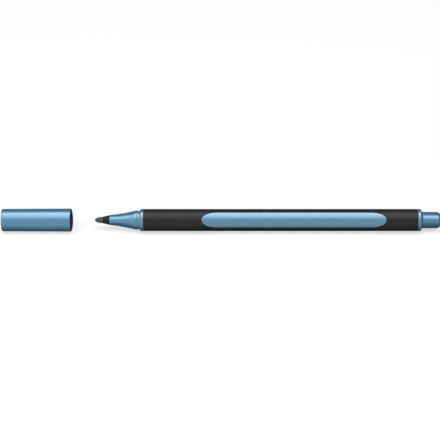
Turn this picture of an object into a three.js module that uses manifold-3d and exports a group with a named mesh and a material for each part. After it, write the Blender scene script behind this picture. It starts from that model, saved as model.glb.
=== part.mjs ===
// A fibre-tip marker with its cap pulled off. Its barrel is a triangle with bulging faces and
// round corners, and it lies on one face. Sizes are in millimetres, X runs along the pen from the
// cap to the rear plug, and Z is up. The pieces are drawn round the X axis with X = 0 where the
// cap's mouth seats, and the last group moves them to the frame of the part.
import * as THREE from 'three';
import { mergeVertices } from 'three/addons/utils/BufferGeometryUtils.js';
import Module from 'manifold-3d';

// Clearances: between pressed fits, between faces that meet, and at the cap's running fits.
const pressGap = 0.05;
const faceGap = 0.05;
const capSeatGap = 0.1;
const capRunningGap = 0.07;
const sealRunningGap = 0.15;

// Facets of a full circle, of one bulging face, of one round corner, of a rounded edge, of the
// nose's flare, of the nib's tip and of a window's end.
const circleFacets = 48;
const faceFacets = 9;
const cornerFacets = 8;
const edgeFacets = 4;
const flareFacets = 10;
const tipFacets = 8;
const windowEndFacets = 20;

// Soft sleeve of the barrel.
const sleeveWidth = 9.56;
const sleeveCornerRadius = 3.43;
const sleeveLength = 118;
const sleeveWall = 0.55;
const sleeveEdge = 0.15;

// Hard barrel tube under the sleeve, and the three windows where it comes up through the sleeve.
const tubeWall = 0.75;
const windowSetback = 25.1;
const windowLength = 79.3;
const windowWidth = 6.5;
const windowEndLength = 5.9;
const windowSplit = 0.12;

// Nib, and the holder that shows between the nib and the nose.
const nibRadius = 1.35;
const nibShow = 3.5;
const nibTipLength = 3.1;
const nibPlunge = 6;
const nibTailLength = 2;
const nibTailRadius = 0.6;
const holderShow = 2.8;
const holderLip = 0.08;
const holderWall = 0.4;
const holderSpigotLength = 9;

// Front section: flared nose, round at its rim and in the barrel's section at the neck, two neck
// beads with a notch between them and a groove behind, the ring that the cap seats on, its spigot.
const noseLength = 13.1;
const noseRimWall = 0.34;
const noseRimEdge = 0.12;
const flareHollow = 0.2;
const flareRoundLength = 7;
const neckLength = 2.7;
const neckStep = 0.17;
const frontBeadLength = 1.65;
const beadNotchLength = 1.15;
const beadNotch = 0.05;
const rearBeadLength = 0.85;
const rearBeadStep = 0.03;
const neckGrooveLength = 0.3;
const neckGroove = 0.14;
const ringFootLength = 0.15;
const flangeLength = 1.8;
const flangeStep = 0.03;
const flangeShoulderDepth = 0.6;
const flangeShoulderLength = 0.75;
const flangeRearEdge = 0.12;
const frontSpigotLength = 10;
const frontSpigotWall = 0.7;
const spigotLead = 0.3;

// Ink reservoir and its film.
const filmPlay = 0.12;
const filmWall = 0.1;

// Rear plug: ring, stub and spigot.
const ringLength = 2;
const ringStep = 0.02;
const ringFrontEdge = 0.15;
const ringShoulderDepth = 0.95;
const ringShoulderLength = 0.7;
const stubLength = 8.4;
const stubRadius = 3.58;
const stubDraft = 0.04;
const stubRoundingDepth = 1.35;
const stubRoundingLength = 1.1;
const plugSpigotLength = 8;
const plugSpigotWall = 0.8;
const plugEndWall = 1.6;

// Cap, and how far its mouth stands off the seat when it is pulled off.
const capLength = 29.8;
const capOverhang = 0.19;
const capDraft = 0.125;
const capWall = 0.8;
const capEndWall = 1.2;
const capEndRounding = 0.45;
const capMouthEdge = 0.12;
const capMouthBevel = 0.3;
const capCollarLength = 2.6;
const capCollarTaper = 0.5;
const capCollarStep = 0.15;
const capPulledOff = 29.6;

// Sealing cup inside the cap, placed by where it meets the nose and the nib when the cap is on.
const sealReach = 8.45;
const sealHeadroom = 1.95;
const sealFloor = 1;
const sealLipWall = 0.6;
const sealLipEdge = 0.2;
const sealSkirtWall = 0.8;

// Barrel section. The three corner arcs are centred at cornerOffset from the axis, and each face
// is an arc centred on the opposite corner's centre, so that the section is as wide all round.
const faceDirections = [-90, 30, 150];
const cornerOffset = (sleeveWidth / 2 - sleeveCornerRadius) / Math.cos(Math.PI / 6);
const cornerSpacing = cornerOffset * Math.sqrt(3);

// Sections of the nested pieces, by their width across.
const tubeWidth = sleeveWidth - 2 * (sleeveWall + pressGap);
const flangeWidth = sleeveWidth + 2 * flangeStep;
const ringWidth = sleeveWidth + 2 * ringStep;
const capMouthWidth = flangeWidth + 2 * capOverhang;
const capEndWidth = capMouthWidth - 2 * capDraft;
const capCollarBore = capMouthWidth - 2 * capWall;
const capDeepBore = capCollarBore - 2 * capCollarStep;

// Radii that follow from what they fit.
const tubeBoreRadius = faceDistance(tubeWidth) - tubeWall;
const spigotRadius = tubeBoreRadius - pressGap;
const frontBoreRadius = spigotRadius - frontSpigotWall;
const filmRadius = tubeBoreRadius - filmPlay;
const filmBoreRadius = filmRadius - filmWall;
const reservoirRadius = filmBoreRadius - pressGap;
const holderBoreRadius = nibRadius + pressGap;
const holderRadius = holderBoreRadius + holderWall;
const noseBoreRadius = holderRadius + pressGap;
const noseRimRadius = noseBoreRadius + noseRimWall;
const neckWidth = capCollarBore - 2 * capRunningGap;
const flareRootRadius = neckWidth / 2 - neckStep;
const skirtRadius = faceDistance(capDeepBore) - pressGap;

// Places along the pen, from the seat of the cap's mouth at X = 0.
const rimX = -noseLength;
const holderFrontX = rimX - holderShow;
const nibTipX = holderFrontX - nibShow;
const holderRearX = rimX + holderSpigotLength;
const sleeveFrontX = flangeLength + faceGap;
const sleeveRearX = sleeveFrontX + sleeveLength;
const windowMiddleX = sleeveFrontX + windowSetback + windowLength / 2;
const frontSpigotX = sleeveFrontX + frontSpigotLength;
const ringFrontX = sleeveRearX + faceGap;
const stubFrontX = ringFrontX + ringLength;
const plugEndX = stubFrontX + stubLength;
const plugSpigotX = sleeveRearX - plugSpigotLength;
const reservoirFrontX = frontSpigotX + faceGap;
const reservoirRearX = plugSpigotX - faceGap;
const nibTailX = reservoirFrontX + nibPlunge;

// Places along the cap as it is pulled off, and the shift back from where they are when it is on.
const capMouthX = -capPulledOff;
const capEndX = capMouthX - capLength;
const capFloorX = capEndX + capEndWall;
const pulledShift = capMouthX + capSeatGap - ringFootLength;
const sealLipX = pulledShift - sealReach;
const sealCupX = pulledShift + nibTipX - sealHeadroom;
const sealLipRadius = flareRadius(-sealReach) + sealRunningGap;

// Distance from the axis to the flat facet in the middle of a face.
function faceDistance(width) {
  const cornerRadius = (width - cornerSpacing) / 2;
  const halfFacet = Math.PI / 6 / faceFacets;
  return (cornerSpacing + cornerRadius) * Math.cos(halfFacet) - cornerOffset;
}

// Radius of the hollow flare of the nose, between its rim and the foot of the front bead.
function flareRadius(x) {
  const along = (x - rimX) / (noseLength - neckLength);
  const straight = THREE.MathUtils.lerp(noseRimRadius, flareRootRadius, along);
  return straight - 4 * flareHollow * along * (1 - along);
}

// Points of the barrel section at one width, as [y, z], round the X axis from face to face. The
// share says how much of a triangle it is, down to 0 for a circle that is as wide.
function sectionPoints(width, share = 1) {
  const offset = share * cornerOffset;
  const spacing = share * cornerSpacing;
  const cornerRadius = (width - spacing) / 2;
  const points = [];
  const addArc = (centreDistance, centreDegrees, radius, middleDegrees, facets) => {
    const centreAngle = THREE.MathUtils.degToRad(centreDegrees);
    for (let i = 0; i < facets; i += 1) {
      const angle = THREE.MathUtils.degToRad(middleDegrees - 30 + (60 * i) / facets);
      const y = centreDistance * Math.cos(centreAngle) + radius * Math.cos(angle);
      const z = centreDistance * Math.sin(centreAngle) + radius * Math.sin(angle);
      points.push([y, z]);
    }
  };
  for (const face of faceDirections) {
    addArc(offset, face + 180, spacing + cornerRadius, face, faceFacets);
    addArc(offset, face + 60, cornerRadius, face + 60, cornerFacets);
  }
  return points;
}

// Closed solid with the barrel's section all along, from stations of [x, width, share].
function sectionLoft(stations) {
  const positions = [];
  const indices = [];
  const count = 3 * (faceFacets + cornerFacets);
  for (const [x, width, share] of stations) {
    for (const [y, z] of sectionPoints(width, share)) {
      positions.push(x, y, z);
    }
  }
  const firstCentre = positions.length / 3;
  const lastRing = (stations.length - 1) * count;
  positions.push(stations[0][0], 0, 0);
  positions.push(stations[stations.length - 1][0], 0, 0);
  for (let j = 0; j < count; j += 1) {
    const next = (j + 1) % count;
    for (let ring = 0; ring < lastRing; ring += count) {
      indices.push(ring + j, ring + next, ring + count + next);
      indices.push(ring + j, ring + count + next, ring + count + j);
    }
    indices.push(firstCentre, next, j);
    indices.push(firstCentre + 1, lastRing + j, lastRing + next);
  }
  const geometry = new THREE.BufferGeometry();
  geometry.setAttribute('position', new THREE.Float32BufferAttribute(positions, 3));
  geometry.setIndex(indices);
  return toSolid(geometry);
}

// Solid turned round the X axis from a profile of [x, radius] that starts and ends on the axis.
function turned(profile) {
  const points = profile.map(([x, radius]) => new THREE.Vector2(radius, x));
  const geometry = new THREE.LatheGeometry(points, circleFacets);
  geometry.rotateZ(-Math.PI / 2);
  return toSolid(geometry);
}

// Round bar or bore between two places along X.
function roundBar(fromX, toX, radius) {
  return turned([[fromX, 0], [fromX, radius], [toX, radius], [toX, 0]]);
}

// Points of a rounded edge as [along, inset], from the end face to the full size.
function roundedEdge(depth, length = depth) {
  const points = [];
  for (let i = 0; i <= edgeFacets; i += 1) {
    const angle = (Math.PI / 2) * (i / edgeFacets);
    points.push([length * (1 - Math.cos(angle)), depth * (1 - Math.sin(angle))]);
  }
  return points;
}

// Prism of a window's outline, standing out from the axis through one face of the barrel.
function windowPrism(faceDegrees, grow) {
  const endRadiusX = windowEndLength + grow;
  const endRadiusY = windowWidth / 2 + grow;
  const straight = windowLength / 2 - windowEndLength;
  const outline = new THREE.Shape();
  outline.absellipse(straight, 0, endRadiusX, endRadiusY, -Math.PI / 2, Math.PI / 2, false, 0);
  outline.absellipse(-straight, 0, endRadiusX, endRadiusY, Math.PI / 2, -Math.PI / 2, false, 0);
  const options = { depth: sleeveWidth, bevelEnabled: false, curveSegments: windowEndFacets };
  const geometry = new THREE.ExtrudeGeometry(outline, options);
  geometry.rotateX(THREE.MathUtils.degToRad(faceDegrees - 90));
  geometry.translate(windowMiddleX, 0, 0);
  return toSolid(geometry);
}

// Joins, cuts and moves between three.js geometry and closed solids.
const wasm = await Module();
wasm.setup();

function toSolid(geometry) {
  geometry.deleteAttribute('normal');
  geometry.deleteAttribute('uv');
  const merged = mergeVertices(geometry, 1e-5);
  const vertProperties = Float32Array.from(merged.getAttribute('position').array);
  const triVerts = Uint32Array.from(merged.getIndex().array);
  return new wasm.Manifold(new wasm.Mesh({ numProp: 3, vertProperties, triVerts }));
}

function toGeometry(solid) {
  const mesh = solid.getMesh();
  const geometry = new THREE.BufferGeometry();
  geometry.setAttribute('position', new THREE.BufferAttribute(mesh.vertProperties, 3));
  geometry.setIndex(new THREE.BufferAttribute(mesh.triVerts, 1));
  geometry.computeVertexNormals();
  return geometry;
}

function piece(name, solid, finish) {
  const mesh = new THREE.Mesh(toGeometry(solid), finish);
  mesh.name = name;
  return mesh;
}

function finish(color, roughness, metalness) {
  return new THREE.MeshStandardMaterial({ color, roughness, metalness });
}

// Nib: a round fibre rod with a bullet tip and a pointed tail that sits in the reservoir.
function nib() {
  const profile = [[nibTipX, 0]];
  for (let i = 1; i <= tipFacets; i += 1) {
    const angle = (Math.PI / 2) * (i / tipFacets);
    const x = nibTipX + nibTipLength * (1 - Math.cos(angle));
    profile.push([x, nibRadius * Math.sin(angle)]);
  }
  profile.push([nibTailX - nibTailLength, nibRadius]);
  profile.push([nibTailX, nibTailRadius], [nibTailX, 0]);
  return turned(profile);
}

// Nib holder: a cone that carries the nose's line on to the nib, with a spigot in the nose.
function nibHolder() {
  const shoulderX = rimX - faceGap;
  const outside = turned([
    [holderFrontX, 0],
    [holderFrontX, holderBoreRadius + holderLip],
    [shoulderX, noseRimRadius - noseRimEdge],
    [shoulderX, holderRadius],
    [holderRearX, holderRadius],
    [holderRearX, 0],
  ]);
  return outside.subtract(roundBar(holderFrontX - 1, holderRearX + 1, holderBoreRadius));
}

// Front section: nose, neck, ring and spigot in one moulding, bored for the holder and the nib.
function frontSection() {
  const stations = [
    [rimX, 2 * (noseRimRadius - noseRimEdge), 0],
    [rimX + noseRimEdge, 2 * noseRimRadius, 0],
  ];
  const triangleLength = noseLength - neckLength - flareRoundLength;
  for (let i = 1; i <= flareFacets; i += 1) {
    const x = rimX + ((noseLength - neckLength) * i) / flareFacets;
    const share = THREE.MathUtils.smoothstep(x - rimX - flareRoundLength, 0, triangleLength);
    stations.push([x, 2 * flareRadius(x), share]);
  }
  stations.push(
    [-frontBeadLength, neckWidth],
    [-beadNotchLength, neckWidth - 2 * beadNotch],
    [-rearBeadLength, neckWidth - 2 * rearBeadStep],
    [-neckGrooveLength, neckWidth - 2 * neckGroove],
    [flangeLength, neckWidth - 2 * neckGroove],
  );
  const frontEdge = roundedEdge(flangeShoulderDepth, flangeShoulderLength);
  const flange = sectionLoft([
    ...frontEdge.map(([x, inset]) => [ringFootLength + x, flangeWidth - 2 * inset]),
    [flangeLength - flangeRearEdge, flangeWidth],
    [flangeLength, flangeWidth - 2 * flangeRearEdge],
  ]);
  const spigot = turned([
    [0, 0],
    [0, spigotRadius],
    [frontSpigotX - spigotLead, spigotRadius],
    [frontSpigotX, spigotRadius - spigotLead],
    [frontSpigotX, 0],
  ]);
  const boreOpening = frontBoreRadius - noseBoreRadius;
  const bore = turned([
    [rimX - 1, 0],
    [rimX - 1, noseBoreRadius],
    [holderRearX + faceGap, noseBoreRadius],
    [holderRearX + faceGap + boreOpening, frontBoreRadius],
    [frontSpigotX + 1, frontBoreRadius],
    [frontSpigotX + 1, 0],
  ]);
  return sectionLoft(stations).add(flange).add(spigot).subtract(bore);
}

// Barrel tube: the section inside the sleeve, raised to the sleeve's surface at the windows.
function barrelCore() {
  let tube = sectionLoft([[sleeveFrontX, tubeWidth], [sleeveRearX, tubeWidth]]);
  const skin = sectionLoft([[sleeveFrontX, sleeveWidth], [sleeveRearX, sleeveWidth]]);
  for (const face of faceDirections) {
    tube = tube.add(skin.intersect(windowPrism(face, 0)));
  }
  return tube.subtract(roundBar(sleeveFrontX - 1, sleeveRearX + 1, tubeBoreRadius));
}

// Soft sleeve: a skin over the tube, open at the windows.
function gripSleeve() {
  const innerWidth = sleeveWidth - 2 * sleeveWall;
  const inside = sectionLoft([[sleeveFrontX - 1, innerWidth], [sleeveRearX + 1, innerWidth]]);
  let sleeve = sectionLoft([
    [sleeveFrontX, sleeveWidth - 2 * sleeveEdge],
    [sleeveFrontX + sleeveEdge, sleeveWidth],
    [sleeveRearX - sleeveEdge, sleeveWidth],
    [sleeveRearX, sleeveWidth - 2 * sleeveEdge],
  ]).subtract(inside);
  for (const face of faceDirections) {
    sleeve = sleeve.subtract(windowPrism(face, windowSplit));
  }
  return sleeve;
}

// Reservoir: a fibre rod with a socket where the nib's tail is pushed in.
function inkReservoir() {
  const rod = roundBar(reservoirFrontX, reservoirRearX, reservoirRadius);
  const socketEndX = nibTailX + faceGap;
  return rod.subtract(roundBar(reservoirFrontX - 1, socketEndX, nibRadius + pressGap));
}

// Film round the reservoir, open at both ends.
function reservoirFilm() {
  const outside = roundBar(reservoirFrontX, reservoirRearX, filmRadius);
  return outside.subtract(roundBar(reservoirFrontX - 1, reservoirRearX + 1, filmBoreRadius));
}

// Rear plug: ring against the sleeve's end, round stub behind it, hollow spigot in the tube.
function endPlug() {
  const rearEdge = roundedEdge(ringShoulderDepth, ringShoulderLength).reverse();
  const ring = sectionLoft([
    [ringFrontX, ringWidth - 2 * ringFrontEdge],
    [ringFrontX + ringFrontEdge, ringWidth],
    ...rearEdge.map(([x, inset]) => [stubFrontX - x, ringWidth - 2 * inset]),
  ]);
  const stubEdge = roundedEdge(stubRoundingDepth, stubRoundingLength).reverse();
  const stub = turned([
    [ringFrontX, 0],
    [ringFrontX, stubRadius],
    ...stubEdge.map(([x, inset]) => [plugEndX - x, stubRadius - stubDraft - inset]),
    [plugEndX, 0],
  ]);
  const spigot = turned([
    [plugSpigotX, 0],
    [plugSpigotX, spigotRadius - spigotLead],
    [plugSpigotX + spigotLead, spigotRadius],
    [ringFrontX + ringFrontEdge, spigotRadius],
    [ringFrontX + ringFrontEdge, 0],
  ]);
  const boreRadius = spigotRadius - plugSpigotWall;
  const hollow = roundBar(plugSpigotX - 1, plugEndX - plugEndWall, boreRadius);
  return ring.add(stub).add(spigot).subtract(hollow);
}

// Cap: a drafted shell with a closed end, and a wider collar in its mouth for the neck bead.
function capShell() {
  const endEdge = roundedEdge(capEndRounding);
  const outside = sectionLoft([
    ...endEdge.map(([x, inset]) => [capEndX + x, capEndWidth - 2 * inset]),
    [capMouthX - capMouthEdge, capMouthWidth],
    [capMouthX, capMouthWidth - 2 * capMouthEdge],
  ]);
  const collarX = capMouthX - capCollarLength;
  const bore = sectionLoft([
    [capFloorX, capDeepBore],
    [collarX - capCollarTaper, capDeepBore],
    [collarX, capCollarBore],
    [capMouthX - capMouthBevel, capCollarBore],
    [capMouthX, capCollarBore + 2 * capMouthBevel],
    [capMouthX + 1, capCollarBore + 2 * capMouthBevel],
  ]);
  return outside.subtract(bore);
}

// Sealing cup: its lip closes round the nose, and its skirt is pressed in behind the cup.
function capInnerSeal() {
  const lipOutside = sealLipRadius + sealLipWall;
  const skirtFrontX = sealCupX + sealFloor;
  const outside = turned([
    [capFloorX + faceGap, 0],
    [capFloorX + faceGap, skirtRadius],
    [skirtFrontX, skirtRadius],
    [skirtFrontX + skirtRadius - lipOutside, lipOutside],
    [sealLipX - sealLipEdge, lipOutside],
    [sealLipX, lipOutside - sealLipEdge],
    [sealLipX, 0],
  ]);
  const cup = roundBar(sealCupX, sealLipX + 1, sealLipRadius);
  const skirtBore = roundBar(capFloorX - 1, sealCupX - sealFloor, skirtRadius - sealSkirtWall);
  return outside.subtract(cup).subtract(skirtBore);
}

const metallicBlue = finish(0x6ea4c1, 0.32, 0.75);
const softBlack = finish(0x2b2b2d, 0.78, 0);

const pen = new THREE.Group();
pen.add(
  piece('nib', nib(), finish(0x55666c, 0.95, 0)),
  piece('nib_holder', nibHolder(), finish(0x1d2426, 0.45, 0)),
  piece('front_section', frontSection(), metallicBlue.clone()),
  piece('barrel_core', barrelCore(), metallicBlue.clone()),
  piece('grip_sleeve', gripSleeve(), softBlack),
  piece('ink_reservoir', inkReservoir(), finish(0x6f97ad, 0.95, 0)),
  piece('reservoir_film', reservoirFilm(), finish(0xdde3e6, 0.3, 0)),
  piece('end_plug', endPlug(), metallicBlue.clone()),
);

const cap = new THREE.Group();
cap.add(
  piece('cap_shell', capShell(), metallicBlue.clone()),
  piece('cap_inner_seal', capInnerSeal(), finish(0x34454f, 0.5, 0)),
);

// The part's frame: its origin is under the middle of the layout, and the cap's mouth touches
// the surface below.
const marker = new THREE.Group();
marker.add(pen, cap);
marker.position.set(-(capEndX + plugEndX) / 2, 0, faceDistance(capMouthWidth));

export default marker;
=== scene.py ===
from math import asin, cos, pi, radians, sin, sqrt, tan

import bpy
import bmesh
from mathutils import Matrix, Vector


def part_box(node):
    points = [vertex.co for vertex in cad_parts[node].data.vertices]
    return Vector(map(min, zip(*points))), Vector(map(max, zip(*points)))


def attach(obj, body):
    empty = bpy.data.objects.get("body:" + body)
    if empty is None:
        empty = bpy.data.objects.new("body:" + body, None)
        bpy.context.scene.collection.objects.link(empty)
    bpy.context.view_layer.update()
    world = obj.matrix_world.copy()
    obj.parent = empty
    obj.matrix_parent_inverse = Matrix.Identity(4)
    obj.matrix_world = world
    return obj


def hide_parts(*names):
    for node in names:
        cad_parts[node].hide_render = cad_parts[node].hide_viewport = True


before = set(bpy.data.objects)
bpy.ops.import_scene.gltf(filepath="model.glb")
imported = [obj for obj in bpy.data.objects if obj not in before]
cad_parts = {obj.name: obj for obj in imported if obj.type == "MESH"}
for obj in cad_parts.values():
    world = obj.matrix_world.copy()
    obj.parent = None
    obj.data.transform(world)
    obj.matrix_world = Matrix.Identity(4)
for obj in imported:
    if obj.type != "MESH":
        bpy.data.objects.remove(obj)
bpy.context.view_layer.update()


# Barrel tube
# The hard tube that carries everything else, moulded in plastic with a metallic blue pigment.
# Its section is a triangle of bulging faces and round corners, as wide whichever way it is
# measured. On each face a long panel with half-oval ends stands up to the sleeve's surface.
MM = 0.001
sleeve_low, sleeve_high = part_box("grip_sleeve")
nib_low, nib_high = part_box("nib")
axis_z = (nib_low.z + nib_high.z) / 2
sleeve_half = (sleeve_high.y - sleeve_low.y) / 2
sleeve_corner = 3.43 * MM
arc = pi / 3
one_third = 2 * arc
corner_offset = (sleeve_half - sleeve_corner) / cos(arc / 2)
faces = [radians(degrees) for degrees in (-90, 30, 150)]
press_gap = 0.05 * MM
sleeve_wall = 0.55 * MM
tube_half = sleeve_half - sleeve_wall - press_gap
film_play = 0.12 * MM
tube_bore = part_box("reservoir_film")[1].y + film_play
panel_setback = 25.1 * MM
panel_length = 79.3 * MM
panel_half = 3.25 * MM
panel_end = 6.5 * MM
panel_bluntness = 0.92
panel_roll = 0.12 * MM
panel_rim = 0.5 * MM
third_steps = 44
edge_steps = 8
tip_steps = 26
straight_steps = 14
run_steps = 5
across_steps = 36
weld_distance = 0.0002 * MM
sharp_angle = radians(40)


def section_point(angle, half, offset=corner_offset):
    """Point (y, z) of the barrel's section where its surface faces this way. A corner is an arc
    round a centre that lies offset from the axis, and a face an arc round the corner opposite.
    Offset 0 is a circle."""
    corner = half - offset * cos(arc / 2)
    turn = (angle - faces[0] + arc / 2) % one_third
    face = angle - turn + arc / 2
    if turn < arc:
        centre, radius = face + pi, corner + sqrt(3) * offset
    else:
        centre, radius = face + arc, corner
    y = offset * cos(centre) + radius * cos(angle)
    z = offset * sin(centre) + radius * sin(angle)
    return y, axis_z + z


def face_turn(across, half):
    """How far the surface has turned from a face's middle at this distance across the face."""
    corner = half - corner_offset * cos(arc / 2)
    bulge = corner + sqrt(3) * corner_offset
    if abs(across) <= bulge / 2:
        return asin(across / bulge)
    turn = asin((abs(across) - corner_offset * sin(arc)) / corner)
    return turn if across > 0 else -turn


def face_point(x, face, across, half, drop=0.0):
    """Point of a face at a distance across it, sunk by drop along the face's own direction."""
    y, z = section_point(face + face_turn(across, half), half)
    return x, y - drop * cos(face), z - drop * sin(face)


def spread(low, high, steps):
    """Even steps from low to high, with both ends."""
    return [low + (high - low) * i / steps for i in range(steps + 1)]


def third(x, face, half, start=0.0, offset=corner_offset):
    """Row of points from one face to the next round their corner, begun and ended start away."""
    angles = spread(face + start, face + one_third - start, third_steps)
    return [(x, *section_point(angle, half, offset)) for angle in angles]


def quarter(depth, length):
    """Rounded edge as (along, inset) pairs, from the end face to the full size."""
    turns = spread(0, pi / 2, edge_steps)
    return [(length * (1 - cos(turn)), depth * (1 - sin(turn))) for turn in turns]


def panel_outline(grow=0.0):
    """One side of a panel's outline as (x, across) from tip to tip, grown outwards by grow."""
    middle = sleeve_low.x + panel_setback + panel_length / 2
    straight = panel_length / 2 - panel_end
    front, rear = [], []
    for turn in spread(0, pi / 2, tip_steps):
        slope_x, slope_y = cos(turn) / panel_end, sin(turn) / panel_half
        slope = sqrt(slope_x ** 2 + slope_y ** 2)
        along = straight + panel_end * cos(turn) + grow * slope_x / slope
        across = max(panel_half * sin(turn) ** panel_bluntness + grow * slope_y / slope, 0.0)
        front.append((middle - along, across))
        rear.insert(0, (middle + along, across))
    stations = spread(middle - straight, middle + straight, straight_steps)
    return front + [(x, panel_half + grow) for x in stations[1:-1]] + rear


def between_panels(face, half, outline, x_front, x_rear):
    """Rows of the surface from one face's panel to the next face's, over the whole length."""
    rows = [third(x, face, half) for x in spread(x_front, outline[0][0], run_steps)[:-1]]
    rows += [third(x, face, half, face_turn(across, half)) for x, across in outline]
    rows += [third(x, face, half) for x in spread(outline[-1][0], x_rear, run_steps)[1:]]
    return rows


def surface(name, grids, other_grids=()):
    """One closed mesh from grids of points that meet at their borders, smooth but for corners.
    The other grids take the piece's second material."""
    work = bmesh.new()
    finish_of = [(rows, 0) for rows in grids] + [(rows, 1) for rows in other_grids]
    for rows, slot in finish_of:
        made = [[work.verts.new(point) for point in row] for row in rows]
        for lower, upper in zip(made, made[1:]):
            for i in range(len(lower) - 1):
                patch = work.faces.new((lower[i], lower[i + 1], upper[i + 1], upper[i]))
                patch.material_index = slot
    bmesh.ops.remove_doubles(work, verts=work.verts, dist=weld_distance)
    bmesh.ops.dissolve_degenerate(work, edges=work.edges, dist=weld_distance)
    bmesh.ops.recalc_face_normals(work, faces=work.faces)
    mesh = bpy.data.meshes.new(name)
    work.to_mesh(mesh)
    work.free()
    mesh.shade_smooth()
    mesh.set_sharp_from_angle(angle=sharp_angle)
    piece = bpy.data.objects.new(name, mesh)
    bpy.context.scene.collection.objects.link(piece)
    return piece


tube_grids, rim_grids = [], []
for face in faces:
    foot = panel_outline()
    bore_front = third(sleeve_low.x, face, tube_bore, offset=0.0)
    bore_rear = third(sleeve_high.x, face, tube_bore, offset=0.0)
    skin = between_panels(face, tube_half, foot, sleeve_low.x, sleeve_high.x)
    tube_grids.append([bore_front] + skin + [bore_rear, bore_front])
    shares = spread(-1, 1, across_steps)
    top = panel_outline(-panel_rim)
    tube_grids.append([[face_point(x, face, a * s, sleeve_half) for s in shares] for x, a in top])
    for side in (-1, 1):
        rolled = [[face_point(x, face, side * a, sleeve_half) for x, a in top]]
        for drop, inset in quarter(panel_roll, panel_roll):
            line = panel_outline(-inset)
            rolled.append([face_point(x, face, side * a, sleeve_half, drop) for x, a in line])
        rolled.append([face_point(x, face, side * a, tube_half) for x, a in foot])
        rim_grids.append(rolled)
tube = surface("barrel_tube", tube_grids, rim_grids)


class Shade:
    """A socket in a material's tree. Arithmetic on values adds Math nodes to that tree."""

    def __init__(self, tree, socket=None):
        self.tree = tree
        self.socket = socket

    def node(self, kind, settings=None, inputs=None, output=0):
        made = self.tree.nodes.new(kind)
        for name, value in (settings or {}).items():
            setattr(made, name, value)
        for key, value in (inputs or {}).items():
            if isinstance(value, Shade):
                self.tree.links.new(value.socket, made.inputs[key])
            else:
                made.inputs[key].default_value = value
        return Shade(self.tree, made.outputs[output])

    def math(self, operation, first, second=0.0):
        return self.node("ShaderNodeMath", {"operation": operation}, {0: first, 1: second})

    def __add__(self, other):
        return self.math("ADD", self, other)

    def __sub__(self, other):
        return self.math("SUBTRACT", self, other)

    def __rsub__(self, other):
        return self.math("SUBTRACT", other, self)

    def __mul__(self, other):
        return self.math("MULTIPLY", self, other)

    __radd__ = __add__
    __rmul__ = __mul__

    def between(self, low, high):
        """Value from low to high, by this value from 0 to 1."""
        return low + self * (high - low)

    def mix(self, low, high):
        """Colour from low to high, by this value from 0 to 1."""
        share, first, second, result = 0, 6, 7, 2
        inputs = {share: self, first: low, second: high}
        return self.node("ShaderNodeMix", {"data_type": "RGBA"}, inputs, result)

    def ramp(self, low, high):
        """0 where this value is low, rising evenly to 1 where it is high."""
        return self.node("ShaderNodeMapRange", inputs={0: self, 1: low, 2: high})

    def part(self, axis):
        """The X, Y or Z of this point or direction."""
        return self.node("ShaderNodeSeparateXYZ", inputs={0: self}, output=axis)

    def place(self, stretch=(1, 1, 1)):
        """Point on the piece in metres, in the marker's own frame, stretched for a texture."""
        point = self.node("ShaderNodeTexCoord", output="Object")
        return self.node("ShaderNodeVectorMath", {"operation": "MULTIPLY"}, {0: point, 1: stretch})

    def noise(self, size, detail=2.0, stretch=(1, 1, 1)):
        """Soft noise from 0 to 1 with features of this size."""
        inputs = {"Vector": self.place(stretch), "Scale": 1 / size, "Detail": detail}
        return self.node("ShaderNodeTexNoise", inputs=inputs)

    def grains(self, size):
        """A random value from 0 to 1 for each grain of this size."""
        inputs = {"Vector": self.place(), "Scale": 1 / size}
        cell = self.node("ShaderNodeTexVoronoi", inputs=inputs, output="Color")
        return self.node("ShaderNodeSeparateColor", inputs={0: cell})

    def relief(self, height, depth):
        """Surface direction over a relief of this depth in metres."""
        return self.node("ShaderNodeBump", inputs={"Height": height, "Distance": depth})


def colour(red, green, blue):
    """Linear colour of these display values from 0 to 255, by the sRGB curve."""
    display = [value / 255 for value in (red, green, blue)]
    linear = [v / 12.92 if v <= 0.04045 else ((v + 0.055) / 1.055) ** 2.4 for v in display]
    return (*linear, 1.0)


def finish(name, constants, varying):
    """Material with constants on its shader, and what varying gives for the tree linked to it."""
    material = bpy.data.materials.new(name)
    material.use_nodes = True
    shader = material.node_tree.nodes["Principled BSDF"]
    for key, value in constants.items():
        shader.inputs[key].default_value = value
    for key, shade in varying(Shade(material.node_tree)).items():
        material.node_tree.links.new(shade.socket, shader.inputs[key])
    return material


def flaked(shade, flakes, tone):
    """Metal flakes of this tone under a lacquer with a slight ripple."""
    ripple = shade.noise(0.12 * MM)
    ripple_depth = 0.0015 * MM
    return {
        "Base Color": tone,
        "Metallic": flakes.between(0.65, 0.81),
        "Roughness": flakes.between(0.45, 0.55),
        "Normal": shade.relief(ripple, ripple_depth),
    }


flake_size = 0.07 * MM


def pigment(shade):
    """Blue flakes that lie a little unevenly over some millimetres."""
    flakes = shade.grains(flake_size)
    cloud = shade.noise(9 * MM)
    share = flakes * 0.9 + cloud * 0.1
    return flaked(shade, flakes, share.mix(colour(44, 129, 169), colour(69, 151, 187)))


def rim_highlight_pigment(shade):
    """The rim of a panel, painted a paler blue as a painted highlight where its rolled edge
    catches light.
    """
    flakes = shade.grains(flake_size)
    return flaked(shade, flakes, flakes.mix(colour(86, 140, 168), colour(108, 158, 182)))


lacquer = {"Coat Weight": 1.0, "Coat Roughness": 0.18, "Coat IOR": 2.1}
metallic_blue = finish("metallic_blue", lacquer, pigment)
tube.data.materials.append(metallic_blue)
# The panels' rolled rims take a paler blue: a painted highlight where their edges catch the light.
tube.data.materials.append(finish("painted_rim_highlight", lacquer, rim_highlight_pigment))
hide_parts("barrel_core")
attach(tube, "pen")


# Grip sleeve
# A black soft-touch rubber skin, moulded over the tube so that the panels look through it.
# A fine line is left round each panel, and both of its ends are slightly rounded.
sleeve_inner = sleeve_half - sleeve_wall
sleeve_edge = 0.15 * MM
panel_split = 0.12 * MM
lip_edge = 0.1 * MM

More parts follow.
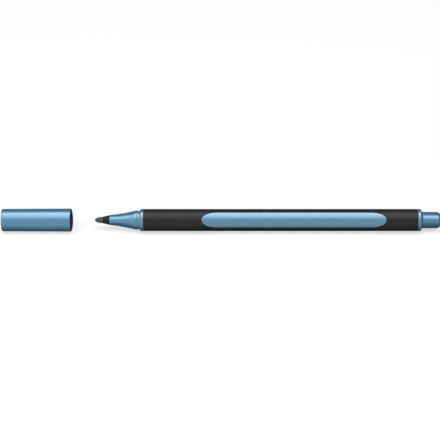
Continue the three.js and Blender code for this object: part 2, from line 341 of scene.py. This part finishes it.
sleeve_grids = []
for face in faces:
    wall = panel_outline(panel_split)
    inside = between_panels(face, sleeve_inner, wall, sleeve_low.x, sleeve_high.x)
    outside = between_panels(
        face, sleeve_half, panel_outline(panel_split + lip_edge),
        sleeve_low.x + sleeve_edge, sleeve_high.x - sleeve_edge,
    )
    ends = quarter(sleeve_edge, sleeve_edge)
    front = [third(sleeve_low.x + along, face, sleeve_half - inset) for along, inset in ends]
    rear = [third(sleeve_high.x - along, face, sleeve_half - inset) for along, inset in ends]
    sleeve_grids.append(inside)
    sleeve_grids.append([inside[0]] + front[:-1] + outside + rear[-2::-1] + [inside[-1]])
    for side in (-1, 1):
        rolled = []
        for drop, inset in quarter(lip_edge, lip_edge):
            line = panel_outline(panel_split + inset)
            rolled.append([face_point(x, face, side * a, sleeve_half, drop) for x, a in line])
        rolled.append([face_point(x, face, side * a, sleeve_inner) for x, a in wall])
        sleeve_grids.append(rolled)
sleeve = surface("grip_skin", sleeve_grids)


def soft_rubber(shade):
    cloud = shade.noise(6 * MM, detail=3.0)
    grain = shade.noise(0.09 * MM, detail=3.0)
    grain_depth = 0.004 * MM
    return {
        "Base Color": cloud.mix(colour(20, 20, 20), colour(26, 26, 26)),
        "Roughness": grain.between(0.34, 0.46),
        "Normal": shade.relief(grain, grain_depth),
    }


soft_black = finish("soft_black", {"Specular IOR Level": 0.42}, soft_rubber)
sleeve.data.materials.append(soft_black)
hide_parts("grip_sleeve")
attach(sleeve, "pen")


# Ink reservoir
# A rod of bundled polyester fibres, soaked with ink, that lies in the tube's bore. The nib's
# tail is pushed into a socket in its front end.
rod_low, rod_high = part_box("ink_reservoir")
rod_radius = rod_high.y
nib_radius = nib_high.y
socket_radius = nib_radius + press_gap
socket_end = nib_high.x + press_gap


def circle(x, radius):
    """Closed ring round the axis. Radius 0 is the ring's own centre."""
    return [point for face in faces for point in third(x, face, radius, offset=0.0)]


rod = surface("fibre_rod", [[
    circle(rod_high.x, 0),
    circle(rod_high.x, rod_radius),
    circle(rod_low.x, rod_radius),
    circle(rod_low.x, socket_radius),
    circle(socket_end, socket_radius),
    circle(socket_end, 0),
]])


def bundle(shade):
    along_rod = (0.02, 1, 1)
    strands = shade.noise(0.12 * MM, stretch=along_rod)
    strand_depth = 0.03 * MM
    return {
        "Base Color": strands.mix(colour(96, 138, 160), colour(136, 170, 188)),
        "Normal": shade.relief(strands, strand_depth),
    }


rod.data.materials.append(finish("reservoir_fibre", {"Roughness": 0.9}, bundle))
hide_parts("ink_reservoir")
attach(rod, "pen")


# Reservoir film
# A thin clear plastic film, wrapped round the rod so that its fibres hold together and slide
# into the tube. It is open at both ends.
film_low, film_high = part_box("reservoir_film")
film_radius = film_high.y
film_wall = 0.1 * MM
film = surface("rod_film", [[
    circle(film_low.x, film_radius),
    circle(film_high.x, film_radius),
    circle(film_high.x, film_radius - film_wall),
    circle(film_low.x, film_radius - film_wall),
    circle(film_low.x, film_radius),
]])


def clear_film(shade):
    along_film = (0.2, 1, 1)
    creases = shade.noise(3 * MM, stretch=along_film)
    crease_depth = 0.01 * MM
    return {
        "Roughness": creases.between(0.15, 0.35),
        "Normal": shade.relief(creases, crease_depth),
    }


film_look = {"Base Color": colour(214, 222, 226), "Alpha": 0.5}
film.data.materials.append(finish("film", film_look, clear_film))
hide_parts("reservoir_film")
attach(film, "pen")


# Front section
# The metallic blue nose in one plastic moulding. Its slightly hollow flare is round at the rim.
# Behind it come two neck beads and the ring that the cap seats on, in the barrel's section, and
# a spigot pressed into the tube.
nose_low, nose_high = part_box("front_section")
seat_setback = 1.85 * MM
seat_x = sleeve_low.x - seat_setback
ring_foot = 0.15 * MM
ring_depth = 1.8 * MM
ring_front = seat_x + ring_foot
ring_rear = seat_x + ring_depth
ring_half = nose_high.y
holder_wall = 0.4 * MM
holder_radius = nib_radius + press_gap + holder_wall
nose_bore = holder_radius + press_gap
rim_wall = 0.34 * MM
rim_radius = nose_bore + rim_wall
rim_edge = 0.3 * MM
bead_radius = 4.13 * MM
flare_end = seat_x - 2.2 * MM
flare_root = bead_radius - 0.1 * MM
flare_hollow = 0.22 * MM
flare_steps = 30
round_end = nose_low.x + 5.6 * MM
three_sided = 1.0
flare_share = 0.42
front_bead = seat_x - 1.65 * MM
front_bead_end = seat_x - 1.3 * MM
notch = seat_x - 1.05 * MM
notch_depth = 0.07 * MM
rear_bead = seat_x - 0.85 * MM
rear_bead_step = 0.03 * MM
groove = seat_x - 0.5 * MM
groove_depth = 0.13 * MM
bend_steps = 6
spigot_radius = tube_bore - press_gap
spigot_wall = 0.7 * MM
spigot_bore = spigot_radius - spigot_wall
spigot_chamfer = 0.3 * MM
holder_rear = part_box("nib_holder")[1].x


def ring(x, half, share=three_sided):
    """Closed ring of the barrel's section. A share of 0 makes it a circle."""
    offset = share * corner_offset
    return [point for face in faces for point in third(x, face, half, offset=offset)]


def flare(x):
    """Radius of the nose between its rim and its neck, with the line's hollow in the middle."""
    along = (x - nose_low.x) / (flare_end - nose_low.x)
    return rim_radius + (flare_root - rim_radius) * along - 4 * flare_hollow * along * (1 - along)


def eased(start, end):
    """Stations from one (x, radius, share) to the next along a soft step, without the first."""
    stations = []
    for along in spread(0, 1, bend_steps)[1:]:
        ease = along * along * (3 - 2 * along)
        x = start[0] + (end[0] - start[0]) * along
        stations.append((x, *[low + (high - low) * ease for low, high in zip(start[1:], end[1:])]))
    return stations


neck = [
    (flare_end, flare_root, flare_share),
    (front_bead, bead_radius, three_sided),
    (front_bead_end, bead_radius, three_sided),
    (notch, bead_radius - notch_depth, three_sided),
    (rear_bead, bead_radius - rear_bead_step, three_sided),
    (groove, bead_radius - groove_depth, three_sided),
    (ring_front, bead_radius - groove_depth, three_sided),
]
rim = quarter(rim_edge, rim_edge)
nose = [(nose_low.x + along, rim_radius - inset, 0.0) for along, inset in rim]
for x in spread(nose_low.x + rim_edge, flare_end, flare_steps)[1:]:
    turned = max((x - round_end) / (flare_end - round_end), 0.0)
    nose.append((x, flare(x), flare_share * turned))
for start, end in zip(neck, neck[1:]):
    nose += eased(start, end)
flange = quarter(depth=0.6 * MM, length=0.75 * MM)
flange_edge = quarter(depth=0.12 * MM, length=0.12 * MM)
nose_rings = [circle(nose_low.x, nose_bore)]
nose_rings += [ring(x, radius, share) for x, radius, share in nose]
nose_rings += [ring(ring_front + along, ring_half - inset) for along, inset in flange]
nose_rings += [ring(ring_rear - along, ring_half - inset) for along, inset in flange_edge[::-1]]
nose_rings += [
    circle(ring_rear, spigot_radius),
    circle(nose_high.x - spigot_chamfer, spigot_radius),
    circle(nose_high.x, spigot_radius - spigot_chamfer),
    circle(nose_high.x, spigot_bore),
    circle(holder_rear + spigot_bore - nose_bore, spigot_bore),
    circle(holder_rear + press_gap, nose_bore),
    circle(nose_low.x, nose_bore),
]
front = surface("nose_section", [nose_rings])
front.data.materials.append(metallic_blue)
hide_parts("front_section")
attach(front, "pen")


# Nib holder
# A black plastic cone that carries the nose's line on to the nib, with a thin spigot pressed
# into the nose.
holder_low, holder_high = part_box("nib_holder")
holder_bore = nib_radius + press_gap
shoulder_x = nose_low.x - press_gap
rim_step = 0.12 * MM
shoulder_radius = rim_radius - rim_step
holder_lip = 0.08 * MM
lip_round = 0.06 * MM
lip_bend = 0.3 * lip_round
shoulder_round = 1.2 * lip_round
holder = surface("holder_cone", [[
    circle(holder_low.x, holder_bore),
    circle(holder_low.x, holder_bore + holder_lip - lip_round),
    circle(holder_low.x + lip_bend, holder_bore + holder_lip - lip_bend),
    circle(holder_low.x + lip_round, holder_bore + holder_lip),
    circle(shoulder_x - shoulder_round, shoulder_radius),
    circle(shoulder_x - lip_bend, shoulder_radius - lip_bend),
    circle(shoulder_x, shoulder_radius - lip_round),
    circle(shoulder_x, holder_radius),
    circle(holder_high.x, holder_radius),
    circle(holder_high.x, holder_bore),
    circle(holder_low.x, holder_bore),
]])


def moulded_black(shade):
    grain = shade.noise(0.15 * MM, detail=3.0)
    grain_depth = 0.003 * MM
    return {
        "Base Color": grain.mix(colour(22, 26, 28), colour(31, 35, 37)),
        "Roughness": grain.between(0.5, 0.64),
        "Normal": shade.relief(grain, grain_depth),
    }


black_plastic = finish("black_plastic", {"Specular IOR Level": 0.25}, moulded_black)
holder.data.materials.append(black_plastic)
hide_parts("nib_holder")
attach(holder, "pen")


# Nib
# A rod of bonded fibres ground to a bullet tip. It is soaked with ink, and its pointed tail sits
# in the reservoir.
nib_tip = 3.0 * MM
nib_steps = 24
tail_length = 2.0 * MM
tail_radius = 0.6 * MM
nib_rings = []
for turn in spread(0, pi / 2, nib_steps):
    nib_rings.append(circle(nib_low.x + nib_tip * (1 - cos(turn)), nib_radius * sin(turn)))
nib_rings += [
    circle(nib_high.x - tail_length, nib_radius),
    circle(nib_high.x, tail_radius),
    circle(nib_high.x, 0),
]
nib = surface("fibre_tip", [nib_rings])


def inked_fibre(shade):
    along_nib = (0.12, 1, 1)
    strands = shade.noise(0.1 * MM, detail=3.0, stretch=along_nib)
    blotch = shade.noise(0.8 * MM)
    share = strands * 0.6 + blotch * 0.4
    strand_depth = 0.02 * MM
    return {
        "Base Color": share.mix(colour(22, 40, 44), colour(60, 86, 88)),
        "Roughness": blotch.between(0.3, 0.46),
        "Normal": shade.relief(strands, strand_depth),
    }


nib.data.materials.append(finish("nib_fibre", {"Specular IOR Level": 0.8}, inked_fibre))
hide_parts("nib")
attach(nib, "pen")


# Rear plug
# The metallic blue plastic plug that closes the barrel: a ring against the sleeve, a round stub
# behind it, and a hollow spigot pressed into the tube.
plug_low, plug_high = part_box("end_plug")
plug_half = plug_high.y
collar_length = 2.0 * MM
collar_front = sleeve_high.x + press_gap
collar_rear = collar_front + collar_length
collar_edge = quarter(depth=0.28 * MM, length=0.35 * MM)
collar_round = quarter(depth=0.95 * MM, length=0.88 * MM)
stub_radius = 3.58 * MM
stub_draft = 0.04 * MM
stub_end = stub_radius - stub_draft
stub_round = quarter(depth=1.9 * MM, length=1.5 * MM)
stub_foot = 0.1 * MM
foot_length = 0.3 * MM
foot_bend, foot_left = 0.4 * foot_length, 0.3 * stub_foot
plug_wall = 0.8 * MM
plug_bore = spigot_radius - plug_wall
plug_end_wall = 1.6 * MM
plug_rings = [
    circle(plug_high.x - plug_end_wall, 0),
    circle(plug_high.x - plug_end_wall, plug_bore),
    circle(plug_low.x, plug_bore),
    circle(plug_low.x, spigot_radius - spigot_chamfer),
    circle(plug_low.x + spigot_chamfer, spigot_radius),
    circle(collar_front, spigot_radius),
]
plug_rings += [ring(collar_front + along, plug_half - inset) for along, inset in collar_edge]
plug_rings += [ring(collar_rear - along, plug_half - inset) for along, inset in collar_round[::-1]]
plug_rings += [
    circle(collar_rear, stub_radius + stub_foot),
    circle(collar_rear + foot_bend, stub_radius + foot_left),
    circle(collar_rear + foot_length, stub_radius),
]
plug_rings += [circle(plug_high.x - along, stub_end - inset) for along, inset in stub_round[::-1]]
plug_rings.append(circle(plug_high.x, 0))
plug = surface("rear_plug", [plug_rings])
plug.data.materials.append(metallic_blue)
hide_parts("end_plug")
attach(plug, "pen")


# Cap
# The pull-off cap, moulded in plastic with a slight draft, in the barrel's section and closed at
# its end. Outside it is metallic blue, and its mouth and bore are painted dark blue as painted
# shade. A slightly wider collar inside the mouth passes over the neck beads.
cap_low, cap_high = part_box("cap_shell")
cap_mouth = axis_z + (1 - cos(arc / 2)) * corner_offset
cap_draft = 0.125 * MM
cap_end = cap_mouth - cap_draft
cap_wall = 0.8 * MM
collar_bore = cap_mouth - cap_wall
cap_step = 0.15 * MM
cap_bore = collar_bore - cap_step
cap_end_wall = 1.2 * MM
cap_floor = cap_low.x + cap_end_wall
cap_round = quarter(depth=0.45 * MM, length=0.45 * MM)
mouth_round = quarter(depth=0.12 * MM, length=0.12 * MM)
mouth_bevel = 0.3 * MM
collar_depth = 2.6 * MM
collar_taper = 0.5 * MM
cap_rings = [circle(cap_low.x, 0)]
cap_rings += [ring(cap_low.x + along, cap_end - inset) for along, inset in cap_round]
cap_rings += [ring(cap_high.x - along, cap_mouth - inset) for along, inset in mouth_round[::-1]]
bore_rings = [
    cap_rings[-1],
    ring(cap_high.x, collar_bore + mouth_bevel),
    ring(cap_high.x - mouth_bevel, collar_bore),
    ring(cap_high.x - collar_depth, collar_bore),
    ring(cap_high.x - collar_depth - collar_taper, cap_bore),
    ring(cap_floor, cap_bore),
    circle(cap_floor, 0),
]
cap = surface("cap_body", [cap_rings], [bore_rings])


# Painted shade: the inside of the mouth and bore is darkened where little light reaches it.
def painted_bore_shade(shade):
    cloud = shade.noise(2 * MM, detail=3.0)
    return {
        "Base Color": cloud.mix(colour(36, 66, 84), colour(46, 80, 98)),
        "Roughness": cloud.between(0.5, 0.65),
    }


cap.data.materials.append(metallic_blue)
cap.data.materials.append(finish("painted_mouth_shade", {"Specular IOR Level": 0.25}, painted_bore_shade))
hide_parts("cap_shell")
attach(cap, "cap")


# Sealing cup
# A dark plastic cup pressed into the cap. Its lip closes round the nose when the cap is on, and
# its hollow skirt stands on the cap's end.
seal_low, seal_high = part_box("cap_inner_seal")
skirt_wall = 0.8 * MM
skirt_radius = seal_high.y
skirt_bore = skirt_radius - skirt_wall
seal_reach = 8.45 * MM
seal_gap = 0.15 * MM
lip_bore = flare(seat_x - seal_reach) + seal_gap
lip_wall = 0.6 * MM
lip_radius = lip_bore + lip_wall
lip_chamfer = 0.2 * MM
seat_gap = 0.1 * MM
cap_travel = ring_front - seat_gap - cap_high.x
nib_room = 1.95 * MM
cup_floor = nib_low.x - cap_travel - nib_room
floor_wall = 1.0 * MM
shoulder = cup_floor + floor_wall
seal = surface("sealing_cup", [[
    circle(cup_floor - floor_wall, 0),
    circle(cup_floor - floor_wall, skirt_bore),
    circle(seal_low.x, skirt_bore),
    circle(seal_low.x, skirt_radius),
    circle(shoulder, skirt_radius),
    circle(shoulder + skirt_radius - lip_radius, lip_radius),
    circle(seal_high.x - lip_chamfer, lip_radius),
    circle(seal_high.x, lip_radius - lip_chamfer),
    circle(seal_high.x, lip_bore),
    circle(cup_floor, lip_bore),
    circle(cup_floor, 0),
]])


def seal_skin(shade):
    cloud = shade.noise(1.5 * MM, detail=3.0)
    return {
        "Base Color": cloud.mix(colour(46, 62, 72), colour(58, 75, 86)),
        "Roughness": cloud.between(0.4, 0.55),
    }


seal.data.materials.append(finish("seal_plastic", {}, seal_skin))
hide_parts("cap_inner_seal")
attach(seal, "cap")


# Floor
# A plain white surface under the marker, large enough that every view stands on it. Seen by the
# camera it also glows a little, so that the marker's shadow on it stays light.
floor_half = 6.0


def flat_sheet(name, half_length, half_width, height=0.0):
    """A flat rectangle round the middle of the layout, at this height."""
    mesh = bpy.data.meshes.new(name)
    sides = [(-1, -1), (1, -1), (1, 1), (-1, 1)]
    corners = [(x * half_length, y * half_width, height) for x, y in sides]
    mesh.from_pydata(corners, [], [(0, 1, 2, 3)])
    sheet = bpy.data.objects.new(name, mesh)
    bpy.context.scene.collection.objects.link(sheet)
    return sheet


def grey(level):
    return (level, level, level, 1)


def paper(shade):
    rays = ("Is Camera Ray", "Is Glossy Ray", "Is Transmission Ray")
    seen, mirrored, through = [shade.node("ShaderNodeLightPath", output=ray) for ray in rays]
    seen = shade.math("MAXIMUM", shade.math("MAXIMUM", seen, mirrored), through)
    return {
        "Base Color": seen.mix(grey(0.8), grey(0.5)),
        "Emission Color": seen.mix(grey(0), grey(0.62)),
    }


floor = flat_sheet("floor", floor_half, floor_half)
paper_look = {"Roughness": 0.9, "Specular IOR Level": 0, "Emission Strength": 1}
floor.data.materials.append(finish("floor_paper", paper_look, paper))


# Soft boxes
# Long soft boxes hang over the marker and in front of it, with a smaller one at the left. Each
# is an area lamp that faces the marker, as wide as the angle that it fills from there.
def soft_box(name, rise, fills, length, radiance, distance=1.5, turn=0):
    width = 2 * distance * tan(radians(fills / 2))
    lamp = bpy.data.lights.new(name, "AREA")
    lamp.shape = "RECTANGLE"
    lamp.size, lamp.size_y = length, width
    lamp.energy = radiance * pi * length * width
    box = bpy.data.objects.new(name, lamp)
    out = distance * cos(radians(rise))
    box.location = (
        out * sin(radians(turn)), -out * cos(radians(turn)), distance * sin(radians(rise))
    )
    box.rotation_euler = (-Vector(box.location)).to_track_quat("-Z", "Y").to_euler()
    bpy.context.scene.collection.objects.link(box)


soft_box("overhead_box", rise=82, fills=28, length=1.75, radiance=2.45)
soft_box("front_box", rise=57, fills=22, length=1.75, radiance=1.3)
soft_box("left_box", rise=17, fills=35, length=1.1, radiance=1.0, turn=-60)


# Card of painted shade
# A card on the floor that shows only in the marker's gloss, as painted shade in its reflections.
# It is dark close to the marker and pale further out, and at the marker's rear end it is darker
# all over.
card_half = 140 * MM
card_far = 60 * MM
card_height = 0.1 * MM
card_dark, card_light = 5 * MM, 17 * MM
rear_light, rear_dark = 82 * MM, 92 * MM
rear_dimming = 0.6


def reflected_shade_card(shade):
    # Painted shadow for reflections: dark near the marker, darker still towards its rear end.
    away = shade.math("ABSOLUTE", shade.place().part("Y"))
    fade = away.ramp(card_dark, card_light)
    rear = shade.place().part("X").ramp(rear_light, rear_dark)
    fade = fade * (1 - rear * rear_dimming)
    return {"Base Color": fade.mix(grey(0.15), grey(0.75))}


card = flat_sheet("painted_shade_card", card_half, card_far, card_height)
card.data.materials.append(finish("painted_shade_card", {"Specular IOR Level": 0}, reflected_shade_card))
card.visible_camera = False
card.visible_shadow = False
card.visible_diffuse = False


# Room
# A pale room round the marker, which lights it softly from everywhere. It is dimmer overhead and
# behind the marker, and darkest at the right.
room_level = 0.62
behind_dimming = 0.65
behind_span = (-0.6, 0.1)
right_dimming = 0.9
right_span = (0.3, 0.7)
world = bpy.data.worlds.new("room")
bpy.context.scene.world = world
world.use_nodes = True
direction = Shade(world.node_tree).node("ShaderNodeTexCoord", output="Generated")
behind = direction.part("Y").ramp(*behind_span)
right = direction.part("X").ramp(*right_span)
level = (1 - behind * behind_dimming) * (1 - right * right_dimming) * room_level
background = world.node_tree.nodes["Background"]
world.node_tree.links.new(level.socket, background.inputs["Strength"])
background.inputs["Color"].default_value = grey(1)


# Camera
# It looks from the marker's front, 30 degrees above the floor, which is square on to one face of
# the barrel. Its frame is a little wider than the layout of pen and cap.
camera_distance = 0.433
frame_width = 0.1907
camera_rise = radians(30)
aim_x = -0.65 * MM
aim = Vector((aim_x, 0, axis_z))
lens = bpy.data.cameras.new("camera")
lens.sensor_fit = "HORIZONTAL"
lens.sensor_width = 36.0
lens.lens = lens.sensor_width * camera_distance / frame_width
camera = bpy.data.objects.new("camera", lens)
camera.location = aim + camera_distance * Vector((0, -cos(camera_rise), sin(camera_rise)))
camera.rotation_euler = (aim - camera.location).to_track_quat("-Z", "Y").to_euler()
bpy.context.scene.collection.objects.link(camera)
bpy.context.scene.camera = camera
bpy.context.scene.view_settings.view_transform = "Standard"
